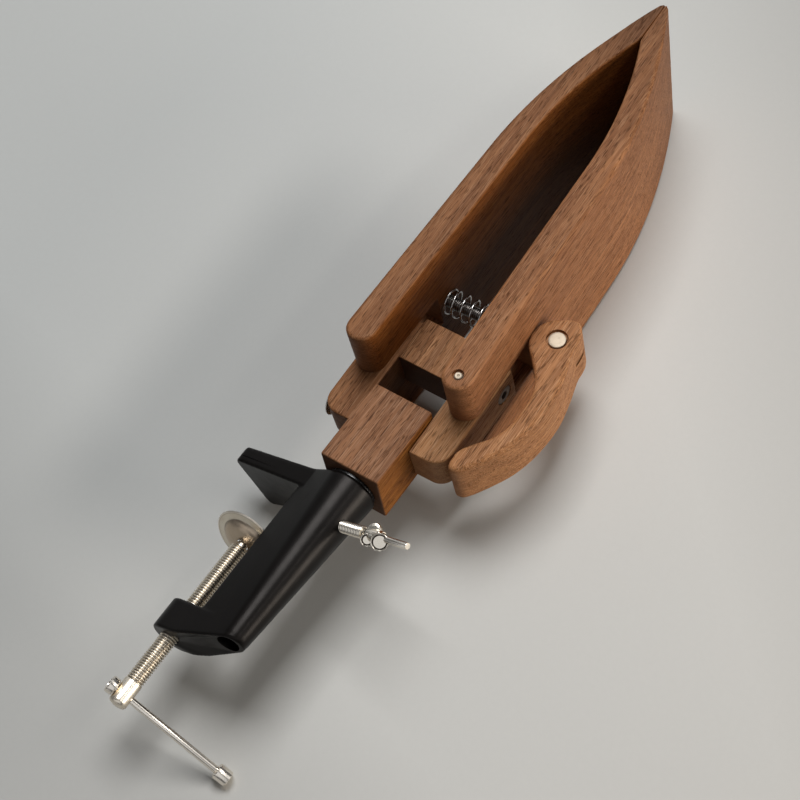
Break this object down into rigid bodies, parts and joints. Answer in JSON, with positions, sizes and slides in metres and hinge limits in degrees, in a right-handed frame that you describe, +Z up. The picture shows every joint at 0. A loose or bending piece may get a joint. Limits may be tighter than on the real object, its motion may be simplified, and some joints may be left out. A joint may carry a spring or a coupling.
{
  "type": "leather stitching clamp",
  "caption": "Bench-mounted stitching clamp: two curved wooden jaws closed by a cam lever, on a tilting and swivelling neck with a small screw clamp for the table edge.",
  "frame": {"origin": "underside of the bench clamp's upper arm on its middle line, 34 mm from the post's axis, where the table edge sits", "axes": "+Z up along the bench clamp's post, X the opening direction of the jaws, -Y the front"},
  "size_m": [0.1159, 0.1009, 0.3981],
  "materials": {
    "walnut_jaw": "oiled satin, straight grain with dark pores",
    "walnut_cheek": "oiled satin",
    "walnut_block": "oiled satin",
    "walnut_lever": "oiled satin",
    "black_paint": "satin black coating",
    "nickel": "bright nickel plating",
    "steel": "bright steel",
    "spring_steel": "drawn steel wire",
    "black_steel": "blackened steel",
    "black_nylon": "matte"
  },
  "bodies": {
    "clamp": {"clamp_body": "black_paint"},
    "thumb": {"thumb_screw": "nickel", "thumb_pin": "nickel"},
    "cup": {"pressure_cup": "nickel"},
    "spindle": {"pressure_screw": "nickel", "cup_rivet": "nickel"},
    "tommy": {"tommy_bar": "nickel", "tommy_caps": "nickel"},
    "swivel": {"swivel_post": "steel", "post_washer": "black_nylon", "neck_block": "walnut_block"},
    "head": {"left_cheek": "walnut_cheek", "right_cheek": "walnut_cheek", "cross_block": "walnut_block", "cheek_screws": "black_steel", "tilt_bolt": "steel", "tilt_nut": "steel", "friction_washers": "black_nylon", "left_jaw": "walnut_jaw", "jaw_dowel": "walnut_cheek", "draw_spring": "spring_steel", "tension_washer": "steel"},
    "moving_jaw": {"right_jaw": "walnut_jaw", "jaw_hinge_pin": "steel"},
    "draw_bar": {"draw_rod": "steel", "lever_cross_pin": "steel"},
    "tension": {"tension_nut": "steel"},
    "cam_lever": {"lever": "walnut_lever"}
  },
  "joints": [
    {"name": "neck_swivel", "type": "hinge", "parent": "clamp", "child": "swivel", "pos_m": [0.03056, -0.0149, 0.0105], "axis": [0, 0, 1], "continuous": true},
    {"name": "head_tilt", "type": "hinge", "parent": "swivel", "child": "head", "pos_m": [0.03056, -0.0149, 0.04422], "axis": [1, 0, 0], "range_deg": [-60, 55]},
    {"name": "lever_cam", "type": "hinge", "parent": "draw_bar", "child": "cam_lever", "pos_m": [0.07286, -0.01903, 0.11159], "axis": [0, -0.9981, -0.061], "range_deg": [0, 60]},
    {"name": "jaw_hinge", "type": "hinge", "parent": "head", "child": "moving_jaw", "pos_m": [0.05551, -0.0162, 0.06538], "axis": [0, 0.9981, 0.061], "range_deg": [0, 1.36]},
    {"name": "draw_travel", "type": "slide", "parent": "head", "child": "draw_bar", "axis": [1, 0, 0], "range_m": [0, 0.003]},
    {"name": "nut_turn", "type": "hinge", "parent": "head", "child": "tension", "pos_m": [-0.00244, -0.01903, 0.11159], "axis": [-1, 0, 0], "range_deg": [0, 1080]},
    {"name": "screw_travel", "type": "slide", "parent": "clamp", "child": "cup", "axis": [0, 0, 1], "range_m": [-0.0338, 0.021]},
    {"name": "screw_turn", "type": "hinge", "parent": "cup", "child": "spindle", "pos_m": [-0.0009, 0.00044, -0.03], "axis": [0, 0, 1], "range_deg": [-9730, 6040]},
    {"name": "tommy_slide", "type": "slide", "parent": "spindle", "child": "tommy", "axis": [0.8462, 0.5329, 0], "range_m": [-0.045, 0]},
    {"name": "thumb_turn", "type": "hinge", "parent": "clamp", "child": "thumb", "pos_m": [0.03056, -0.0149, -0.0082], "axis": [0.8988, -0.4384, 0], "continuous": true}
  ],
  "couplings": [
    {"joint": "jaw_hinge", "follows": "lever_cam", "ratio": 0.0225},
    {"joint": "nut_turn", "follows": "draw_travel", "rad_per_m": 6283.2},
    {"joint": "screw_travel", "follows": "screw_turn", "m_per_rad": 0.00019894}
  ]
}
